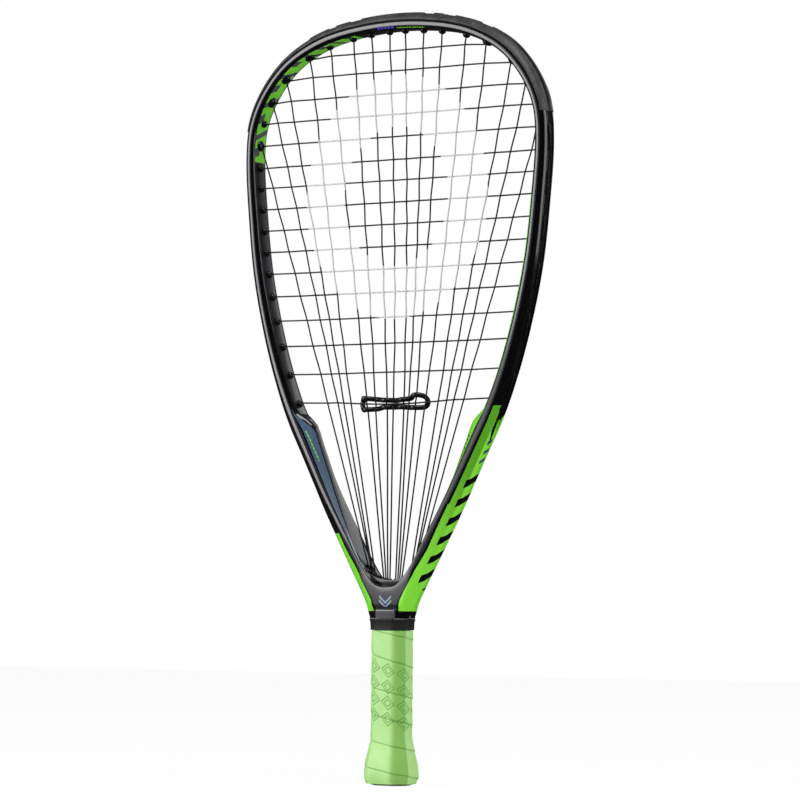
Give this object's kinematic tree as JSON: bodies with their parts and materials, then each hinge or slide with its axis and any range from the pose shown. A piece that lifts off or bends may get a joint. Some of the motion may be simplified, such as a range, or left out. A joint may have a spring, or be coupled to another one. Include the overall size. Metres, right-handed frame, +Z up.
{
  "type": "racquetball racket",
  "caption": "Teardrop racquetball racket: hollow frame with a bumper guard, strings fanning into the throat, a woven vibration dampener and an octagonal wrapped handle.",
  "frame": {"origin": "middle of the butt's end face, where the handle ends", "axes": "+Z up the handle to the head, +X across the string bed, -Y out of the front of the string bed"},
  "size_m": [0.2626, 0.0306, 0.5582],
  "materials": {
    "graphite": "glossy black and green paint over graphite composite",
    "guard_plastic": "satin black nylon",
    "string_black": "smooth black nylon",
    "soft_rubber": "matt black",
    "pallet_foam": "matt dark grey hard foam",
    "grip_green": "matt light green synthetic",
    "tape_black": "satin black",
    "steel": "bright"
  },
  "bodies": {
    "root": {"frame": "graphite", "bumper_guard": "guard_plastic", "grommet_strip_right": "guard_plastic", "grommet_strip_left": "guard_plastic", "throat_grommet_block": "guard_plastic", "main_string": "string_black", "cross_string": "string_black", "vibration_dampener": "soft_rubber", "handle_pallet_front": "pallet_foam", "handle_pallet_back": "pallet_foam", "butt_cap": "guard_plastic", "butt_cap_staple_1": "steel", "butt_cap_staple_2": "steel", "butt_cap_staple_3": "steel", "butt_cap_staple_4": "steel", "grip_wrap": "grip_green", "finishing_tape": "tape_black", "grip_collar": "soft_rubber"}
  },
  "joints": []
}
